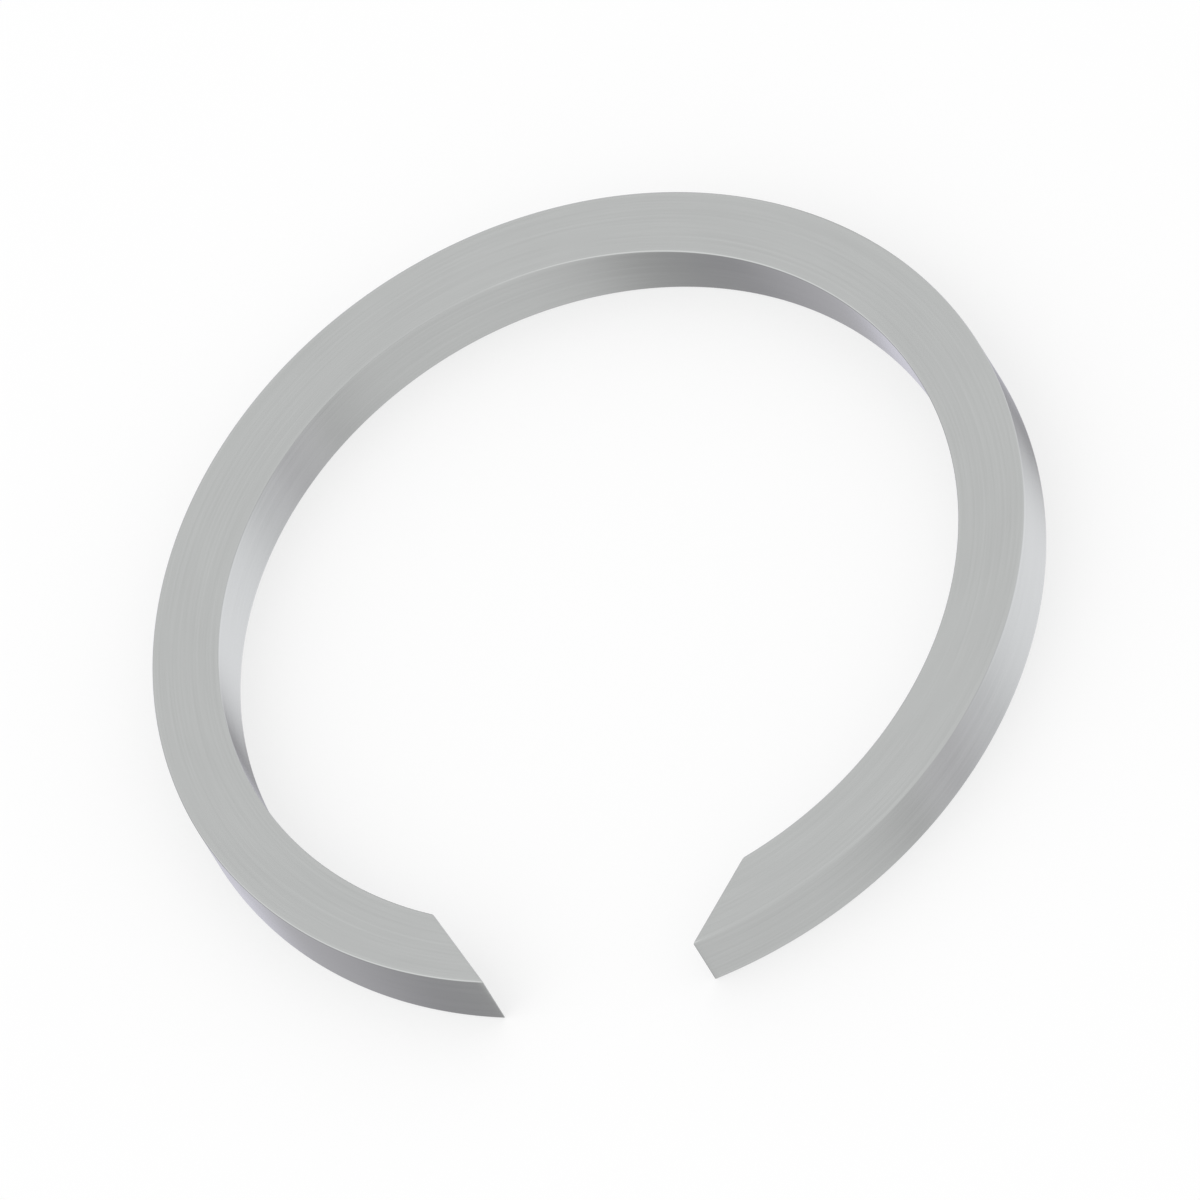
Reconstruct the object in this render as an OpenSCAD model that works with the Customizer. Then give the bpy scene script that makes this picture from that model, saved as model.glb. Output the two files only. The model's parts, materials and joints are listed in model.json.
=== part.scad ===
// Retaining ring of square spring-steel wire, sprung into a groove on a shaft.
// It lies free and flat: its axis is Z, its underside is at z = 0 and its gap faces -Y.

/* [Wire] */
// Width of the wire across the ring, from the bore to the outside
wire_width = 2.5; // [2:0.1:3]
// Thickness of the wire along the ring's axis
wire_thickness = 2.5; // [2:0.1:3]
// Narrow flat that breaks each of the wire's four long edges, measured along either side
edge_break = 0.1; // [0.05:0.01:0.4]

/* [Coil] */
// Bore of the ring as it lies free, a little under the groove that it grips
free_bore_d = 27.9; // [26:0.1:36]

/* [Ends] */
// Gap between the two ends, straight across from outer corner to outer corner
end_gap = 7.9; // [5:0.1:10]
// Lean of each end face off the gap's centre line, which opens the gap towards the bore
end_lean = 30; // [0:1:35]

/* [Hidden] */
$fn = 180;

steel_grey = [0.72, 0.73, 0.72];

bore_r = free_bore_d / 2;
outer_r = bore_r + wire_width;

// Half the angle that the gap takes up at the outside and at the bore, where the shear's cut ends
outside_half_angle = asin(end_gap / 2 / outer_r);
bore_half_angle = asin(outer_r / bore_r * sin(outside_half_angle + end_lean)) - end_lean;

// How far in front of the ring's centre the ends' outer and inner corners lie
outer_corner_reach = outer_r * cos(outside_half_angle);
inner_corner_reach = bore_r * cos(bore_half_angle);

// How far the shear's cut runs on past the wire, into free space
shear_overrun = 0.5;

function gap_half_width(reach) = end_gap / 2 + (outer_corner_reach - reach) * tan(end_lean);

// Section of the wire where it stands in the ring: x is the radius and y the height.
module wire_section() {
    near = edge_break;
    far_x = wire_width - edge_break;
    far_y = wire_thickness - edge_break;
    translate([bore_r, 0])
        polygon([
            [near, 0],
            [far_x, 0],
            [wire_width, near],
            [wire_width, far_y],
            [far_x, wire_thickness],
            [near, wire_thickness],
            [0, far_y],
            [0, near]
        ]);
}

// Plan of what the shear takes out between the ends, widest at the bore.
module gap_plan() {
    past_outside = outer_r + shear_overrun;
    past_bore = inner_corner_reach - shear_overrun;
    polygon([
        [gap_half_width(past_outside), -past_outside],
        [gap_half_width(past_bore), -past_bore],
        [-gap_half_width(past_bore), -past_bore],
        [-gap_half_width(past_outside), -past_outside]
    ]);
}

// The wire coiled to a full turn, with the gap sheared out of it.
module retaining_ring() {
    color(steel_grey)
        difference() {
            rotate_extrude()
                wire_section();
            translate([0, 0, -shear_overrun])
                linear_extrude(wire_thickness + 2 * shear_overrun)
                    gap_plan();
        }
}

retaining_ring();
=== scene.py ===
"""Looks of a retaining ring: square spring-steel wire, drawn, coiled and sheared at both ends.

The ring lies on a pale studio floor. Every size is in metres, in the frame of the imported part:
the ring's axis is Z, its underside lies on z = 0 and the gap between its ends faces -Y.
"""

import json
from math import cos, pi, radians, sin, sqrt

import bmesh
import bpy
from bpy.props import FloatProperty, FloatVectorProperty, IntProperty, PointerProperty
from mathutils import Matrix, Vector


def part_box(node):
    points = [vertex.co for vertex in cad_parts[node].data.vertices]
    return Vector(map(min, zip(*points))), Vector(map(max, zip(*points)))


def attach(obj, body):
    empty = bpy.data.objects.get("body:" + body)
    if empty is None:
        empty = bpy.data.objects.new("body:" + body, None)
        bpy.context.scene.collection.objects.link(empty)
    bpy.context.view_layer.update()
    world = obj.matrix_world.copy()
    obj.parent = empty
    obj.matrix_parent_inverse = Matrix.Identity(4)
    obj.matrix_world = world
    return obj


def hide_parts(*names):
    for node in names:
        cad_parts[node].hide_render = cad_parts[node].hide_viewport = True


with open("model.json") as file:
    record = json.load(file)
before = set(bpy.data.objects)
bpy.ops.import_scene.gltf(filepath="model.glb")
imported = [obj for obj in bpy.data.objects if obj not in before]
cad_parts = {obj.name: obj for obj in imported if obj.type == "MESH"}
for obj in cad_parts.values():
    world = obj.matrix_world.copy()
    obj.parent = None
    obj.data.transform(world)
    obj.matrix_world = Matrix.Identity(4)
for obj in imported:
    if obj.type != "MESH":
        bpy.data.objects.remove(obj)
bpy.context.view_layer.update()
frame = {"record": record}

bl_info = {
    "name": "Retaining Ring",
    "version": (1, 0, 0),
    "blender": (4, 5, 0),
    "location": "3D View > Sidebar > Retaining Ring",
    "description": "Builds a drawn steel retaining ring and the studio that it lies in",
    "category": "Add Mesh",
}

CAD_NODE = "retaining_ring"
BODY = "root"
PIECE_NAME = "drawn_wire_ring"
MILLIMETRE = 0.001

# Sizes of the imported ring, from which the add-on's own sizes start
CAD_LOW, CAD_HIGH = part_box(CAD_NODE)
MOUNTS = {mount["name"]: mount for mount in frame["record"]["mounts"]}
CAD_OUTER_R = CAD_HIGH.x
CAD_BORE_R = MOUNTS["groove_grip"]["dims"]["r_mm"] * MILLIMETRE
CAD_THICKNESS = CAD_HIGH.z - CAD_LOW.z
# The ring's lowest Y is at the outer corners of its two ends
CAD_END_GAP = 2 * sqrt(CAD_OUTER_R**2 - CAD_LOW.y**2)


class RingSizes(bpy.types.PropertyGroup):
    """Sizes of the coiled wire"""

    bore_radius: FloatProperty(
        name="Bore Radius",
        description="Radius of the ring's bore as it lies free",
        default=CAD_BORE_R,
        min=1 * MILLIMETRE,
        unit="LENGTH",
        precision=5,
    )
    wire_width: FloatProperty(
        name="Wire Width",
        description="Width of the wire from the bore to the outside",
        default=CAD_OUTER_R - CAD_BORE_R,
        min=0.5 * MILLIMETRE,
        unit="LENGTH",
        precision=5,
    )
    wire_thickness: FloatProperty(
        name="Wire Thickness",
        description="Thickness of the wire along the ring's axis",
        default=CAD_THICKNESS,
        min=0.5 * MILLIMETRE,
        unit="LENGTH",
        precision=5,
    )
    edge_radius: FloatProperty(
        name="Edge Radius",
        description="Radius that drawing leaves on the wire's four long edges",
        default=0.06 * MILLIMETRE,
        min=0.01 * MILLIMETRE,
        unit="LENGTH",
        precision=5,
    )
    end_gap: FloatProperty(
        name="End Gap",
        description="Gap between the ends, from outer corner to outer corner",
        default=CAD_END_GAP,
        min=0.1 * MILLIMETRE,
        unit="LENGTH",
        precision=5,
    )
    end_lean: FloatProperty(
        name="End Lean",
        description="Lean of each end face off the gap's centre line",
        default=radians(30),
        min=0.0,
        max=radians(60),
        subtype="ANGLE",
    )
    end_wear: FloatProperty(
        name="End Wear",
        description="Width by which tumbling softens the edges of the sheared ends",
        default=0.03 * MILLIMETRE,
        min=0.001 * MILLIMETRE,
        unit="LENGTH",
        precision=5,
    )
    steps_round: IntProperty(
        name="Steps Round",
        description="Number of faces along the coiled wire",
        default=360,
        min=12,
        max=2000,
    )
    steps_corner: IntProperty(
        name="Steps per Corner",
        description="Number of faces round each long edge of the wire",
        default=5,
        min=1,
        max=16,
    )
    steps_wear: IntProperty(
        name="Steps of Wear",
        description="Number of faces over the worn edge of each end",
        default=3,
        min=1,
        max=16,
    )


class SteelFinish(bpy.types.PropertyGroup):
    """Colour and surface of the spring steel"""

    steel: FloatVectorProperty(
        name="Steel",
        description="Colour of the clean drawn steel",
        default=(0.5, 0.51, 0.505),
        subtype="COLOR",
        min=0.0,
        max=1.0,
    )
    sheared: FloatVectorProperty(
        name="Sheared Steel",
        description="Colour of the torn steel on the end faces",
        default=(0.43, 0.435, 0.435),
        subtype="COLOR",
        min=0.0,
        max=1.0,
    )
    drawn_roughness: FloatProperty(
        name="Drawn Roughness",
        description="Roughness of the surface that the drawing die leaves",
        default=0.2,
        min=0.0,
        max=1.0,
        subtype="FACTOR",
    )
    sheared_roughness: FloatProperty(
        name="Sheared Roughness",
        description="Roughness of the torn part of the end faces",
        default=0.5,
        min=0.0,
        max=1.0,
        subtype="FACTOR",
    )
    line_pitch: FloatProperty(
        name="Line Pitch",
        description="Distance between neighbouring draw lines on the wire",
        default=0.1 * MILLIMETRE,
        min=0.005 * MILLIMETRE,
        unit="LENGTH",
        precision=5,
    )


class StudioLook(bpy.types.PropertyGroup):
    """Floor, light and camera"""

    floor: FloatVectorProperty(
        name="Floor",
        description="Colour of the floor",
        default=(0.97, 0.97, 0.97),
        subtype="COLOR",
        min=0.0,
        max=1.0,
    )
    floor_radius: FloatProperty(
        name="Floor Radius",
        description="Radius of the round floor",
        default=1.0,
        min=0.05,
        unit="LENGTH",
    )
    camera_azimuth: FloatProperty(
        name="Camera Azimuth",
        description="Direction of the camera round the ring, from the side of the gap",
        default=radians(26.63),
        subtype="ANGLE",
    )
    camera_elevation: FloatProperty(
        name="Camera Elevation",
        description="Height of the camera above the plane of the ring",
        default=radians(52.78),
        subtype="ANGLE",
    )
    camera_distance: FloatProperty(
        name="Camera Distance",
        description="Distance from the ring to the camera",
        default=0.3,
        min=0.05,
        unit="LENGTH",
    )


def new_node(tree, kind, inputs=(), **settings):
    """A node of that kind, with its settings and its inputs' values or links."""
    node = tree.nodes.new(kind)
    for name, value in settings.items():
        setattr(node, name, value)
    for key, value in dict(inputs).items():
        connect(tree, value, node.inputs[key])
    return node


def connect(tree, value, socket):
    """Links an output to the socket, or writes a plain value into it."""
    if isinstance(value, bpy.types.NodeSocket):
        tree.links.new(value, socket)
    else:
        socket.default_value = value


def calculate(tree, operation, *values):
    """Output of a Math node on the values, which are numbers or outputs."""
    node = tree.nodes.new("ShaderNodeMath")
    node.operation = operation
    for value, socket in zip(values, node.inputs):
        connect(tree, value, socket)
    return node.outputs[0]


def add_socket(tree, name, kind, output=False):
    """Puts a named input or output on a node group's interface."""
    side = "OUTPUT" if output else "INPUT"
    tree.interface.new_socket(name, in_out=side, socket_type=kind)


# Coiled wire, by Geometry Nodes

COIL_INPUTS = (
    ("Bore Radius", "NodeSocketFloat"),
    ("Wire Width", "NodeSocketFloat"),
    ("Wire Thickness", "NodeSocketFloat"),
    ("Edge Radius", "NodeSocketFloat"),
    ("End Gap", "NodeSocketFloat"),
    ("End Lean", "NodeSocketFloat"),
    ("End Wear", "NodeSocketFloat"),
    ("Steps Round", "NodeSocketInt"),
    ("Steps per Corner", "NodeSocketInt"),
    ("Steps of Wear", "NodeSocketInt"),
    ("Drawn Steel", "NodeSocketMaterial"),
    ("Sheared Steel", "NodeSocketMaterial"),
)

# Share of the wear from which a face counts as an end face, with all its corners fully worn
FULLY_WORN = 0.999


def straight_wire(tree, sizes, steps):
    """Straight wire along X with so many steps and a rounded square section.

    Puts out its mesh, and for each of its points the step and the place in the section.
    """
    line = new_node(tree, "GeometryNodeCurvePrimitiveLine", {"Start": (0, 0, 0), "End": (1, 0, 0)})
    stepped = new_node(
        tree,
        "GeometryNodeResampleCurve",
        {"Curve": line.outputs["Curve"], "Count": calculate(tree, "ADD", steps, 1)},
    )
    rail = new_node(tree, "GeometryNodeCaptureAttribute", {"Geometry": stepped.outputs["Curve"]})
    rail.capture_items.new("INT", "Step")
    index = tree.nodes.new("GeometryNodeInputIndex")
    connect(tree, index.outputs["Index"], rail.inputs["Step"])

    square = new_node(
        tree,
        "GeometryNodeCurvePrimitiveQuadrilateral",
        {"Width": sizes["Wire Width"], "Height": sizes["Wire Thickness"]},
    )
    rounded = new_node(
        tree,
        "GeometryNodeFilletCurve",
        {
            "Curve": square.outputs["Curve"],
            "Radius": sizes["Edge Radius"],
            "Count": sizes["Steps per Corner"],
        },
        mode="POLY",
    )
    section = new_node(tree, "GeometryNodeCaptureAttribute", {"Geometry": rounded.outputs["Curve"]})
    section.capture_items.new("VECTOR", "Place")
    position = tree.nodes.new("GeometryNodeInputPosition")
    connect(tree, position.outputs["Position"], section.inputs["Place"])

    wire = new_node(
        tree,
        "GeometryNodeCurveToMesh",
        {
            "Curve": rail.outputs["Geometry"],
            "Profile Curve": section.outputs["Geometry"],
            "Fill Caps": True,
        },
    )
    return wire.outputs["Mesh"], rail.outputs["Step"], section.outputs["Place"]


def end_wear(tree, sizes, step, far_end):
    """The wear as a share from 0 to 1, and how far it moves the surface inwards and back.

    The steps of wear at either end of the wire lie on a quarter of a circle.
    """
    before = calculate(tree, "SUBTRACT", sizes["Steps of Wear"], step)
    beyond = calculate(tree, "SUBTRACT", step, far_end)
    outside = calculate(tree, "MAXIMUM", calculate(tree, "MAXIMUM", before, beyond), 0)
    worn = calculate(tree, "DIVIDE", outside, sizes["Steps of Wear"])
    quarter = calculate(tree, "MULTIPLY", worn, pi / 2)
    inset = calculate(tree, "SUBTRACT", 1, calculate(tree, "COSINE", quarter))
    inset = calculate(tree, "MULTIPLY", inset, sizes["End Wear"])
    set_back = calculate(tree, "SUBTRACT", 1, calculate(tree, "SINE", quarter))
    set_back = calculate(tree, "MULTIPLY", set_back, sizes["End Wear"])
    return worn, inset, set_back


def coiled_place(tree, sizes, step, place, inset, set_back):
    """Place on the ring of a point of the straight wire.

    Each filament of the wire keeps its own radius and runs from one end plane to the other.
    """
    place = new_node(tree, "ShaderNodeSeparateXYZ", {"Vector": place}).outputs
    half_width = calculate(tree, "MULTIPLY", sizes["Wire Width"], 0.5)
    half_thickness = calculate(tree, "MULTIPLY", sizes["Wire Thickness"], 0.5)
    kept_width = calculate(tree, "SUBTRACT", 1, calculate(tree, "DIVIDE", inset, half_width))
    kept_height = calculate(tree, "SUBTRACT", 1, calculate(tree, "DIVIDE", inset, half_thickness))
    mid_radius = calculate(tree, "ADD", sizes["Bore Radius"], half_width)
    radius = calculate(tree, "MULTIPLY_ADD", place["X"], kept_width, mid_radius)
    height = calculate(tree, "MULTIPLY_ADD", place["Y"], kept_height, half_thickness)

    # Angle from the middle of the gap to the end plane, at this radius
    outer_radius = calculate(tree, "ADD", sizes["Bore Radius"], sizes["Wire Width"])
    half_gap = calculate(tree, "MULTIPLY", sizes["End Gap"], 0.5)
    outside_angle = calculate(tree, "ARCSINE", calculate(tree, "DIVIDE", half_gap, outer_radius))
    slant = calculate(tree, "SINE", calculate(tree, "ADD", outside_angle, sizes["End Lean"]))
    ratio = calculate(tree, "DIVIDE", outer_radius, radius)
    tilt = calculate(tree, "ARCSINE", calculate(tree, "MULTIPLY", ratio, slant))
    end_angle = calculate(tree, "SUBTRACT", tilt, sizes["End Lean"])
    # A small turn moves a point off the end plane by the turn times this lever
    lever = calculate(tree, "MULTIPLY", radius, calculate(tree, "COSINE", tilt))
    end_angle = calculate(tree, "ADD", end_angle, calculate(tree, "DIVIDE", set_back, lever))

    # Coiled clockwise as seen from above, because the other way would turn the faces inwards
    part_way = calculate(tree, "SUBTRACT", step, sizes["Steps of Wear"])
    part_way = calculate(tree, "DIVIDE", part_way, sizes["Steps Round"])
    part_way = calculate(tree, "MINIMUM", calculate(tree, "MAXIMUM", part_way, 0), 1)
    sweep = calculate(tree, "MULTIPLY_ADD", end_angle, 2, -2 * pi)
    start = calculate(tree, "SUBTRACT", -pi / 2, end_angle)
    angle = calculate(tree, "MULTIPLY_ADD", part_way, sweep, start)
    coiled = new_node(
        tree,
        "ShaderNodeCombineXYZ",
        {
            "X": calculate(tree, "MULTIPLY", radius, calculate(tree, "COSINE", angle)),
            "Y": calculate(tree, "MULTIPLY", radius, calculate(tree, "SINE", angle)),
            "Z": height,
        },
    )
    return coiled.outputs["Vector"]


def coiled_wire_tree():
    """Geometry Nodes that draw a straight square wire, coil it, and shear both of its ends."""
    tree = bpy.data.node_groups.new("Coiled Wire", "GeometryNodeTree")
    tree.is_modifier = True
    for name, kind in COIL_INPUTS:
        add_socket(tree, name, kind)
    add_socket(tree, "Geometry", "NodeSocketGeometry", output=True)
    sizes = tree.nodes.new("NodeGroupInput").outputs

    # The first and last few steps are for the worn edges of the ends
    far_end = calculate(tree, "ADD", sizes["Steps of Wear"], sizes["Steps Round"])
    steps = calculate(tree, "ADD", far_end, sizes["Steps of Wear"])
    wire, step, place = straight_wire(tree, sizes, steps)
    worn, inset, set_back = end_wear(tree, sizes, step, far_end)
    bent = new_node(
        tree,
        "GeometryNodeSetPosition",
        {
            "Geometry": wire,
            "Position": coiled_place(tree, sizes, step, place, inset, set_back),
        },
    )
    smooth = new_node(
        tree,
        "GeometryNodeSetShadeSmooth",
        {"Geometry": bent.outputs["Geometry"], "Shade Smooth": True},
    )
    real = new_node(
        tree, "GeometryNodeRealizeInstances", {"Geometry": smooth.outputs["Geometry"]}
    )
    drawn = new_node(
        tree,
        "GeometryNodeSetMaterial",
        {"Geometry": real.outputs["Geometry"], "Material": sizes["Drawn Steel"]},
    )
    on_end = new_node(
        tree,
        "FunctionNodeCompare",
        {"A": worn, "B": FULLY_WORN},
        data_type="FLOAT",
        operation="GREATER_THAN",
    )
    sheared = new_node(
        tree,
        "GeometryNodeSetMaterial",
        {
            "Geometry": drawn.outputs["Geometry"],
            "Selection": on_end.outputs["Result"],
            "Material": sizes["Sheared Steel"],
        },
    )
    result = tree.nodes.new("NodeGroupOutput")
    connect(tree, sheared.outputs["Geometry"], result.inputs["Geometry"])
    return tree


def set_tree_inputs(modifier, values):
    """Writes the values into the modifier, by the identifiers of the tree's named inputs."""
    for item in modifier.node_group.interface.items_tree:
        if item.in_out == "INPUT":
            modifier[item.identifier] = values[item.name]


def plain_copy(source, name):
    """The evaluated shape of the source as a plain mesh object, after which the source goes."""
    depsgraph = bpy.context.evaluated_depsgraph_get()
    evaluated = source.evaluated_get(depsgraph)
    mesh = bpy.data.meshes.new_from_object(
        evaluated, preserve_all_data_layers=True, depsgraph=depsgraph
    )
    bpy.data.objects.remove(source)
    mesh.name = name
    piece = bpy.data.objects.new(name, mesh)
    bpy.context.scene.collection.objects.link(piece)
    return piece


# Weight that keeps the wide faces flat in the shading, up to the rounded edges
WIDE_FACE_WEIGHT = 100


class MESH_OT_add_drawn_wire_ring(bpy.types.Operator):
    """Coil the drawn wire into the ring and give it its steel finish"""

    bl_idname = "mesh.add_drawn_wire_ring"
    bl_label = "Drawn Wire Ring"
    bl_options = {"REGISTER", "UNDO"}

    def execute(self, context):
        sizes = context.scene.ring_sizes
        groups = {
            "coordinates": wire_coordinates_group(),
            "grain": metal_grain_group(),
            "edges": rubbed_edges_group(),
        }
        source = bpy.data.objects.new("wire_source", bpy.data.meshes.new("wire_source"))
        context.scene.collection.objects.link(source)
        coil = source.modifiers.new("Coiled Wire", "NODES")
        coil.node_group = coiled_wire_tree()
        set_tree_inputs(
            coil,
            {
                "Bore Radius": sizes.bore_radius,
                "Wire Width": sizes.wire_width,
                "Wire Thickness": sizes.wire_thickness,
                "Edge Radius": sizes.edge_radius,
                "End Gap": sizes.end_gap,
                "End Lean": sizes.end_lean,
                "End Wear": sizes.end_wear,
                "Steps Round": sizes.steps_round,
                "Steps per Corner": sizes.steps_corner,
                "Steps of Wear": sizes.steps_wear,
                "Drawn Steel": drawn_steel(groups),
                "Sheared Steel": sheared_steel(groups),
            },
        )
        flatten = source.modifiers.new("Flat Faces", "WEIGHTED_NORMAL")
        flatten.weight = WIDE_FACE_WEIGHT
        ring = plain_copy(source, PIECE_NAME)
        if len(ring.data.polygons) < sizes.steps_round:
            raise RuntimeError("the coiled wire has no mesh")
        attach(ring, BODY)
        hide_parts(CAD_NODE)
        return {"FINISHED"}


# Finish of the steel

GRAIN_DETAIL = 3.0
GRAIN_HARSHNESS = 0.55
DRAW_LINE_STRETCH = 80
DRAW_LINE_DEPTH = 0.0012 * MILLIMETRE
DRAW_LINE_CONTRAST = 0.14
MOTTLE_SIZE = Vector((1.4, 3.0, 1.4)) * MILLIMETRE
MOTTLE_CONTRAST = 0.06
RUB_WIDTH = 0.22 * MILLIMETRE
RUB_BRIGHTENING = 0.03
RUB_SMOOTHING = 0.07
ROUGHNESS_SWING = 0.12


def wire_coordinates_group():
    """Shader group: a place on the ring as its radius, its way along the wire and its height."""
    tree = bpy.data.node_groups.new("Wire Coordinates", "ShaderNodeTree")
    add_socket(tree, "Place", "NodeSocketVector")
    add_socket(tree, "Along Wire", "NodeSocketVector", output=True)
    add_socket(tree, "Radius", "NodeSocketFloat", output=True)
    add_socket(tree, "Height", "NodeSocketFloat", output=True)
    given = tree.nodes.new("NodeGroupInput").outputs
    place = new_node(tree, "ShaderNodeSeparateXYZ", {"Vector": given["Place"]}).outputs
    square = calculate(tree, "MULTIPLY", place["Y"], place["Y"])
    square = calculate(tree, "MULTIPLY_ADD", place["X"], place["X"], square)
    radius = calculate(tree, "SQRT", square)
    # Counted from +Y, so that the jump in the angle falls into the gap between the ends
    angle = calculate(tree, "ARCTAN2", place["X"], place["Y"])
    length = calculate(tree, "MULTIPLY", angle, radius)
    along = new_node(tree, "ShaderNodeCombineXYZ", {"X": radius, "Y": length, "Z": place["Z"]})
    result = tree.nodes.new("NodeGroupOutput")
    connect(tree, along.outputs["Vector"], result.inputs["Along Wire"])
    connect(tree, radius, result.inputs["Radius"])
    connect(tree, place["Z"], result.inputs["Height"])
    return tree


def metal_grain_group():
    """Shader group: marks of a given size, as a tone about 1 and as a height from 0 to 1."""
    tree = bpy.data.node_groups.new("Metal Grain", "ShaderNodeTree")
    add_socket(tree, "Place", "NodeSocketVector")
    add_socket(tree, "Mark Size", "NodeSocketVector")
    add_socket(tree, "Contrast", "NodeSocketFloat")
    add_socket(tree, "Tone", "NodeSocketFloat", output=True)
    add_socket(tree, "Height", "NodeSocketFloat", output=True)
    given = tree.nodes.new("NodeGroupInput").outputs
    scaled = new_node(
        tree,
        "ShaderNodeVectorMath",
        {0: given["Place"], 1: given["Mark Size"]},
        operation="DIVIDE",
    )
    marks = new_node(
        tree,
        "ShaderNodeTexNoise",
        {
            "Vector": scaled.outputs["Vector"],
            "Scale": 1.0,
            "Detail": GRAIN_DETAIL,
            "Roughness": GRAIN_HARSHNESS,
        },
    )
    centred = calculate(tree, "SUBTRACT", marks.outputs["Fac"], 0.5)
    tone = calculate(tree, "MULTIPLY_ADD", centred, given["Contrast"], 1.0)
    result = tree.nodes.new("NodeGroupOutput")
    connect(tree, tone, result.inputs["Tone"])
    connect(tree, marks.outputs["Fac"], result.inputs["Height"])
    return tree


def rubbed_edges_group():
    """Shader group: masks of the wire's long edges, and of the rim round its section."""
    tree = bpy.data.node_groups.new("Rubbed Edges", "ShaderNodeTree")
    for name in ("Radius", "Height", "Bore Radius", "Wire Width", "Wire Thickness", "Rub Width"):
        add_socket(tree, name, "NodeSocketFloat")
    add_socket(tree, "Long Edge", "NodeSocketFloat", output=True)
    add_socket(tree, "Rim", "NodeSocketFloat", output=True)
    given = tree.nodes.new("NodeGroupInput").outputs

    def depth(value, lowest, span):
        """How deep the value lies between two opposite sides of the section."""
        from_low = calculate(tree, "SUBTRACT", value, lowest)
        return calculate(tree, "MINIMUM", from_low, calculate(tree, "SUBTRACT", span, from_low))

    def rub(distance):
        """1 at the edge itself, fading to 0 at the rub's width."""
        fade = new_node(
            tree,
            "ShaderNodeMapRange",
            {"Value": distance, "From Min": given["Rub Width"], "From Max": 0.0},
            interpolation_type="SMOOTHSTEP",
        )
        return fade.outputs["Result"]

    inward = depth(given["Radius"], given["Bore Radius"], given["Wire Width"])
    upward = depth(given["Height"], 0.0, given["Wire Thickness"])
    result = tree.nodes.new("NodeGroupOutput")
    # A place on a long edge is near two sides of the section at once
    connect(tree, rub(calculate(tree, "MAXIMUM", inward, upward)), result.inputs["Long Edge"])
    connect(tree, rub(calculate(tree, "MINIMUM", inward, upward)), result.inputs["Rim"])
    return tree


def group_outputs(tree, group, inputs):
    """Outputs of the group, placed in the tree with these inputs."""
    return new_node(tree, "ShaderNodeGroup", inputs, node_tree=group).outputs


def tinted(tree, colour, tone):
    """The colour made lighter or darker by the tone."""
    node = new_node(tree, "ShaderNodeVectorMath", {0: colour, "Scale": tone}, operation="SCALE")
    return node.outputs["Vector"]


def new_material(name):
    """An empty node material, its tree, its Principled shader and its Object coordinates."""
    material = bpy.data.materials.new(name)
    material.use_nodes = True
    tree = material.node_tree
    tree.nodes.clear()
    shader = tree.nodes.new("ShaderNodeBsdfPrincipled")
    output = tree.nodes.new("ShaderNodeOutputMaterial")
    connect(tree, shader.outputs["BSDF"], output.inputs["Surface"])
    place = tree.nodes.new("ShaderNodeTexCoord").outputs["Object"]
    return material, tree, shader, place


def edge_masks(tree, groups, wire):
    """Outputs of the rubbed edges' group for this ring's sizes."""
    sizes = bpy.context.scene.ring_sizes
    return group_outputs(
        tree,
        groups["edges"],
        {
            "Radius": wire["Radius"],
            "Height": wire["Height"],
            "Bore Radius": sizes.bore_radius,
            "Wire Width": sizes.wire_width,
            "Wire Thickness": sizes.wire_thickness,
            "Rub Width": RUB_WIDTH,
        },
    )


def drawn_steel(groups):
    """Steel as the drawing die leaves it: fine lines along the wire, and rubbed edges."""
    finish = bpy.context.scene.steel_finish
    material, tree, shader, place = new_material("drawn_steel")
    wire = group_outputs(tree, groups["coordinates"], {"Place": place})
    pitch = finish.line_pitch
    lines = group_outputs(
        tree,
        groups["grain"],
        {
            "Place": wire["Along Wire"],
            "Mark Size": (pitch, pitch * DRAW_LINE_STRETCH, pitch),
            "Contrast": DRAW_LINE_CONTRAST,
        },
    )
    mottle = group_outputs(
        tree,
        groups["grain"],
        {"Place": wire["Along Wire"], "Mark Size": MOTTLE_SIZE, "Contrast": MOTTLE_CONTRAST},
    )
    rubbed = edge_masks(tree, groups, wire)["Long Edge"]
    tone = calculate(tree, "MULTIPLY", lines["Tone"], mottle["Tone"])
    tone = calculate(tree, "MULTIPLY_ADD", rubbed, RUB_BRIGHTENING, tone)
    connect(tree, tinted(tree, finish.steel, tone), shader.inputs["Base Color"])
    swing = calculate(tree, "ADD", lines["Height"], mottle["Height"])
    swing = calculate(tree, "SUBTRACT", swing, 1.0)
    rough = calculate(tree, "MULTIPLY_ADD", swing, ROUGHNESS_SWING, finish.drawn_roughness)
    rough = calculate(tree, "MULTIPLY_ADD", rubbed, -RUB_SMOOTHING, rough)
    connect(tree, rough, shader.inputs["Roughness"])
    shader.inputs["Metallic"].default_value = 1.0
    bump = new_node(
        tree, "ShaderNodeBump", {"Distance": DRAW_LINE_DEPTH, "Height": lines["Height"]}
    )
    connect(tree, bump.outputs["Normal"], shader.inputs["Normal"])
    return material


# Upper part of an end face that the shear cuts smoothly, before the rest breaks off
BURNISHED_SHARE = 0.42
BURNISH_WANDER = 0.5 * MILLIMETRE
BURNISH_WANDER_SIZE = Vector((0.3, 0.3, 8.0)) * MILLIMETRE
BURNISH_FADE = 0.08 * MILLIMETRE
SHEAR_LINE_SIZE = Vector((0.06, 0.06, 1.6)) * MILLIMETRE
SHEAR_LINE_CONTRAST = 0.25
SHEAR_LINE_DEPTH = 0.004 * MILLIMETRE
TORN_GRAIN_SIZE = Vector((0.11, 0.11, 0.11)) * MILLIMETRE
TORN_GRAIN_CONTRAST = 0.45
TORN_GRAIN_DEPTH = 0.02 * MILLIMETRE


def blended(tree, share, low, high):
    """A number that goes from low to high as the share goes from 0 to 1."""
    node = new_node(tree, "ShaderNodeMapRange", {"Value": share, "To Min": low, "To Max": high})
    return node.outputs["Result"]


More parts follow.
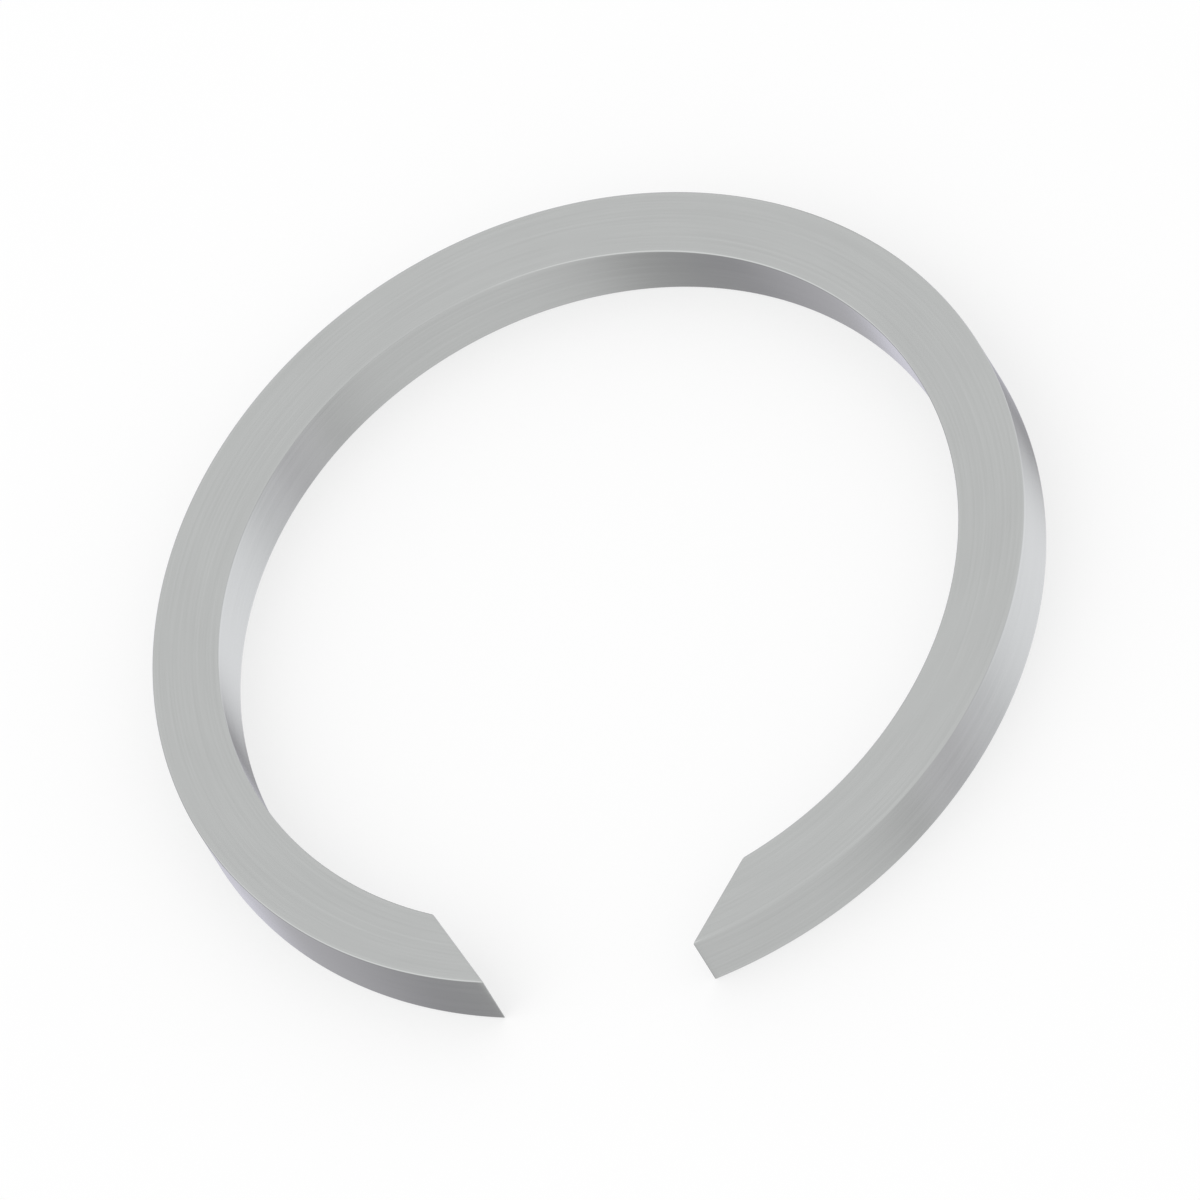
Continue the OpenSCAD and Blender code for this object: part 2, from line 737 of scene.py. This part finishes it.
def sheared_steel(groups):
    """End faces: a smooth band with the shear's lines above, and torn grain below."""
    finish = bpy.context.scene.steel_finish
    thickness = bpy.context.scene.ring_sizes.wire_thickness
    material, tree, shader, place = new_material("sheared_steel")
    wire = group_outputs(tree, groups["coordinates"], {"Place": place})
    cuts = group_outputs(
        tree,
        groups["grain"],
        {"Place": place, "Mark Size": SHEAR_LINE_SIZE, "Contrast": SHEAR_LINE_CONTRAST},
    )
    torn = group_outputs(
        tree,
        groups["grain"],
        {"Place": place, "Mark Size": TORN_GRAIN_SIZE, "Contrast": TORN_GRAIN_CONTRAST},
    )
    wander = group_outputs(
        tree,
        groups["grain"],
        {"Place": place, "Mark Size": BURNISH_WANDER_SIZE},
    )
    edge = calculate(
        tree,
        "MULTIPLY_ADD",
        calculate(tree, "SUBTRACT", wander["Height"], 0.5),
        BURNISH_WANDER,
        thickness * (1 - BURNISHED_SHARE),
    )
    above = calculate(tree, "SUBTRACT", wire["Height"], edge)
    burnished = new_node(
        tree,
        "ShaderNodeMapRange",
        {"Value": above, "From Min": -BURNISH_FADE, "From Max": BURNISH_FADE},
        interpolation_type="SMOOTHSTEP",
    ).outputs["Result"]
    rubbed = edge_masks(tree, groups, wire)["Rim"]
    tone = blended(tree, burnished, torn["Tone"], cuts["Tone"])
    tone = calculate(tree, "MULTIPLY_ADD", rubbed, RUB_BRIGHTENING, tone)
    colour = new_node(
        tree,
        "ShaderNodeMix",
        {"Factor": burnished, "A": (*finish.sheared, 1.0), "B": (*finish.steel, 1.0)},
        data_type="RGBA",
    )
    connect(tree, tinted(tree, colour.outputs["Result"], tone), shader.inputs["Base Color"])
    rough = blended(tree, burnished, finish.sheared_roughness, finish.drawn_roughness)
    rough = calculate(tree, "MULTIPLY_ADD", rubbed, -RUB_SMOOTHING, rough)
    connect(tree, rough, shader.inputs["Roughness"])
    shader.inputs["Metallic"].default_value = 1.0
    height = blended(
        tree,
        burnished,
        calculate(tree, "MULTIPLY", torn["Height"], TORN_GRAIN_DEPTH / SHEAR_LINE_DEPTH),
        cuts["Height"],
    )
    bump = new_node(tree, "ShaderNodeBump", {"Distance": SHEAR_LINE_DEPTH, "Height": height})
    connect(tree, bump.outputs["Normal"], shader.inputs["Normal"])
    return material


# Studio

# Soft panels round the horizon: name, azimuth from +X and half spread in degrees, and light
PANELS = (
    ("right panel", 43, 53, (1.17, 1.17, 1.2)),
    ("front panel", 288, 98, (0.91, 0.91, 0.91)),
    ("narrow strip", 353, 18, (0.26, 0.25, 0.27)),
    ("back panel", 127, 32, (0.21, 0.21, 0.27)),
    ("left panel", 151, 85, (0.6, 0.59, 0.62)),
)
CEILING = (0.96, 0.96, 0.96)
PANEL_TOP = radians(-10)
CEILING_EDGE = radians(15)


def soft_panel_group():
    """Shader group: the light of one soft panel that comes from a level direction."""
    tree = bpy.data.node_groups.new("Soft Panel", "ShaderNodeTree")
    add_socket(tree, "Direction", "NodeSocketVector")
    add_socket(tree, "Azimuth", "NodeSocketFloat")
    add_socket(tree, "Spread", "NodeSocketFloat")
    add_socket(tree, "Colour", "NodeSocketColor")
    add_socket(tree, "Light", "NodeSocketColor", output=True)
    given = tree.nodes.new("NodeGroupInput").outputs
    axis = new_node(
        tree,
        "ShaderNodeCombineXYZ",
        {
            "X": calculate(tree, "COSINE", given["Azimuth"]),
            "Y": calculate(tree, "SINE", given["Azimuth"]),
        },
    )
    facing = new_node(
        tree,
        "ShaderNodeVectorMath",
        {0: given["Direction"], 1: axis.outputs["Vector"]},
        operation="DOT_PRODUCT",
    )
    fade = new_node(
        tree,
        "ShaderNodeMapRange",
        {
            "Value": facing.outputs["Value"],
            "From Min": calculate(tree, "COSINE", given["Spread"]),
            "From Max": 1.0,
        },
        interpolation_type="SMOOTHSTEP",
    )
    light = tinted(tree, given["Colour"], fade.outputs["Result"])
    result = tree.nodes.new("NodeGroupOutput")
    connect(tree, light, result.inputs["Light"])
    return tree


def light_world():
    """Soft panels round the horizon under an even ceiling."""
    world = bpy.data.worlds.new("soft_studio")
    bpy.context.scene.world = world
    world.use_nodes = True
    tree = world.node_tree
    tree.nodes.clear()
    ray = tree.nodes.new("ShaderNodeTexCoord").outputs["Generated"]
    part = new_node(tree, "ShaderNodeSeparateXYZ", {"Vector": ray}).outputs
    flat = new_node(tree, "ShaderNodeCombineXYZ", {"X": part["X"], "Y": part["Y"]})
    level = new_node(
        tree, "ShaderNodeVectorMath", {0: flat.outputs["Vector"]}, operation="NORMALIZE"
    )
    group = soft_panel_group()
    total = (0.0, 0.0, 0.0)
    for name, azimuth, spread, colour in PANELS:
        panel = new_node(
            tree,
            "ShaderNodeGroup",
            {
                "Direction": level.outputs["Vector"],
                "Azimuth": radians(azimuth),
                "Spread": radians(spread),
                "Colour": (*colour, 1.0),
            },
            node_tree=group,
            label=name,
        )
        sum_node = new_node(
            tree, "ShaderNodeVectorMath", {0: panel.outputs["Light"], 1: total}, operation="ADD"
        )
        total = sum_node.outputs["Vector"]
    rise = new_node(
        tree,
        "ShaderNodeMapRange",
        {"Value": part["Z"], "From Min": sin(PANEL_TOP), "From Max": sin(CEILING_EDGE)},
        interpolation_type="SMOOTHSTEP",
    )
    light = new_node(
        tree,
        "ShaderNodeMix",
        {"Factor": rise.outputs["Result"], "A": total, "B": (*CEILING, 1.0)},
        data_type="RGBA",
    )
    background = new_node(tree, "ShaderNodeBackground", {"Color": light.outputs["Result"]})
    output = tree.nodes.new("ShaderNodeOutputWorld")
    connect(tree, background.outputs["Background"], output.inputs["Surface"])


KEY_LAMP_AZIMUTH = radians(200)
KEY_LAMP_ELEVATION = radians(50)
KEY_LAMP_DISTANCE = 0.6
KEY_LAMP_SIZE = 0.8
KEY_LAMP_POWER = 0.42


def direction(azimuth, elevation):
    """Unit vector at the azimuth, counted from +X, and at the height above the ring's plane."""
    level = cos(elevation)
    return Vector((cos(azimuth) * level, sin(azimuth) * level, sin(elevation)))


def aimed_from(place, target, upward):
    """Matrix of a lamp or camera at the place that looks at the target, with upward up."""
    back = (place - target).normalized()
    right = upward.cross(back).normalized()
    up = back.cross(right)
    turn = Matrix((right, up, back)).transposed().to_4x4()
    return Matrix.Translation(place) @ turn


def hang_key_lamp():
    """One large soft lamp, which gives the shadow its direction."""
    lamp = bpy.data.lights.new("key_softbox", "AREA")
    lamp.shape = "DISK"
    lamp.size = KEY_LAMP_SIZE
    lamp.energy = KEY_LAMP_POWER
    holder = bpy.data.objects.new("key_softbox", lamp)
    place = direction(KEY_LAMP_AZIMUTH, KEY_LAMP_ELEVATION) * KEY_LAMP_DISTANCE
    holder.matrix_world = aimed_from(place, Vector((0, 0, 0)), Vector((0, 0, 1)))
    bpy.context.scene.collection.objects.link(holder)


# The floor lies just under the ring. The sheet far below fills the foot of the picture for
# a camera so low that part of its view starts under the floor.
FLOOR_HEIGHTS = {"studio_floor": -0.01 * MILLIMETRE, "lower_sheet": -80 * MILLIMETRE}
FLOOR_SIDES = 128
FLOOR_GLOW = 0.6


def floor_paper():
    """Matt pale floor that keeps the ring's shadow, and that can be seen through from below."""
    look = bpy.context.scene.studio_look
    material = bpy.data.materials.new("floor_paper")
    material.use_nodes = True
    tree = material.node_tree
    tree.nodes.clear()
    matt = new_node(tree, "ShaderNodeBsdfDiffuse", {"Color": (*look.floor, 1.0)})
    glow = new_node(tree, "ShaderNodeEmission", {"Color": (1, 1, 1, 1), "Strength": 1.0})
    rays = tree.nodes.new("ShaderNodeLightPath").outputs
    seen = calculate(tree, "MAXIMUM", rays["Is Camera Ray"], rays["Is Glossy Ray"])
    seen = calculate(tree, "MAXIMUM", seen, rays["Is Transmission Ray"])
    share = calculate(tree, "MULTIPLY", seen, FLOOR_GLOW)
    paper = new_node(
        tree,
        "ShaderNodeMixShader",
        {0: share, 1: matt.outputs["BSDF"], 2: glow.outputs["Emission"]},
    )
    clear = tree.nodes.new("ShaderNodeBsdfTransparent")
    side = tree.nodes.new("ShaderNodeNewGeometry").outputs["Backfacing"]
    one_sided = new_node(
        tree,
        "ShaderNodeMixShader",
        {0: side, 1: paper.outputs["Shader"], 2: clear.outputs["BSDF"]},
    )
    output = tree.nodes.new("ShaderNodeOutputMaterial")
    connect(tree, one_sided.outputs["Shader"], output.inputs["Surface"])
    return material


def lay_sheet(name, height, paper):
    """Round flat sheet of the floor's paper at the height."""
    look = bpy.context.scene.studio_look
    mesh = bpy.data.meshes.new(name)
    shape = bmesh.new()
    bmesh.ops.create_circle(
        shape,
        cap_ends=True,
        segments=FLOOR_SIDES,
        radius=look.floor_radius,
        matrix=Matrix.Translation((0, 0, height)),
    )
    shape.to_mesh(mesh)
    shape.free()
    mesh.materials.append(paper)
    sheet = bpy.data.objects.new(name, mesh)
    bpy.context.scene.collection.objects.link(sheet)
    # The steel mirrors the soft panels all round, as it would with nothing near it
    sheet.visible_glossy = False
    sheet.visible_shadow = False


# Framing of the photograph, in pixels of its 1200-pixel square
FRAME_PIXELS = 1200
OUTER_RADIUS_PIXELS = 460.6
UPPER_CENTRE_PIXEL = (588.04, 587.11)
CAMERA_CLIP_START = 0.01
CAMERA_CLIP_END = 10.0


def place_camera():
    """Camera with no perspective at the photograph's viewing angle, with the Y axis upright."""
    sizes = bpy.context.scene.ring_sizes
    look = bpy.context.scene.studio_look
    pixel = (sizes.bore_radius + sizes.wire_width) / OUTER_RADIUS_PIXELS
    # The gap faces -Y, a quarter turn before +X
    back = direction(look.camera_azimuth - pi / 2, look.camera_elevation)
    upper_centre = Vector((0, 0, sizes.wire_thickness))
    turn = aimed_from(upper_centre + back, upper_centre, Vector((0, 1, 0))).to_3x3()
    right_shift = (FRAME_PIXELS / 2 - UPPER_CENTRE_PIXEL[0]) * pixel
    down_shift = (FRAME_PIXELS / 2 - UPPER_CENTRE_PIXEL[1]) * pixel
    target = upper_centre + turn.col[0] * right_shift - turn.col[1] * down_shift
    camera = bpy.data.cameras.new("photo_view")
    camera.type = "ORTHO"
    camera.ortho_scale = FRAME_PIXELS * pixel
    camera.clip_start = CAMERA_CLIP_START
    camera.clip_end = CAMERA_CLIP_END
    holder = bpy.data.objects.new("photo_view", camera)
    holder.matrix_world = Matrix.Translation(target + back * look.camera_distance) @ turn.to_4x4()
    bpy.context.scene.collection.objects.link(holder)
    bpy.context.scene.camera = holder


class SCENE_OT_set_up_ring_studio(bpy.types.Operator):
    """Lay the floor, light the ring and place the camera"""

    bl_idname = "scene.set_up_ring_studio"
    bl_label = "Studio"
    bl_options = {"REGISTER", "UNDO"}

    def execute(self, context):
        paper = floor_paper()
        for name, height in FLOOR_HEIGHTS.items():
            lay_sheet(name, height, paper)
        light_world()
        hang_key_lamp()
        place_camera()
        context.scene.view_settings.view_transform = "Standard"
        return {"FINISHED"}


class VIEW3D_PT_retaining_ring(bpy.types.Panel):
    """Sidebar panel with the ring's sizes, finish and studio"""

    bl_idname = "VIEW3D_PT_retaining_ring"
    bl_label = "Retaining Ring"
    bl_space_type = "VIEW_3D"
    bl_region_type = "UI"
    bl_category = "Retaining Ring"

    def draw(self, context):
        layout = self.layout
        scene = context.scene
        for heading, group in (
            ("Ring", scene.ring_sizes),
            ("Steel", scene.steel_finish),
            ("Studio", scene.studio_look),
        ):
            box = layout.box()
            box.label(text=heading)
            for name in group.bl_rna.properties.keys():
                if name not in {"rna_type", "name"}:
                    box.prop(group, name)
        layout.operator(MESH_OT_add_drawn_wire_ring.bl_idname)
        layout.operator(SCENE_OT_set_up_ring_studio.bl_idname)


CLASSES = (
    RingSizes,
    SteelFinish,
    StudioLook,
    MESH_OT_add_drawn_wire_ring,
    SCENE_OT_set_up_ring_studio,
    VIEW3D_PT_retaining_ring,
)


def register():
    for cls in CLASSES:
        bpy.utils.register_class(cls)
    bpy.types.Scene.ring_sizes = PointerProperty(type=RingSizes)
    bpy.types.Scene.steel_finish = PointerProperty(type=SteelFinish)
    bpy.types.Scene.studio_look = PointerProperty(type=StudioLook)


def unregister():
    del bpy.types.Scene.studio_look
    del bpy.types.Scene.steel_finish
    del bpy.types.Scene.ring_sizes
    for cls in reversed(CLASSES):
        bpy.utils.unregister_class(cls)


def main():
    register()
    bpy.ops.mesh.add_drawn_wire_ring()
    bpy.ops.scene.set_up_ring_studio()


if __name__ == "__main__":
    main()
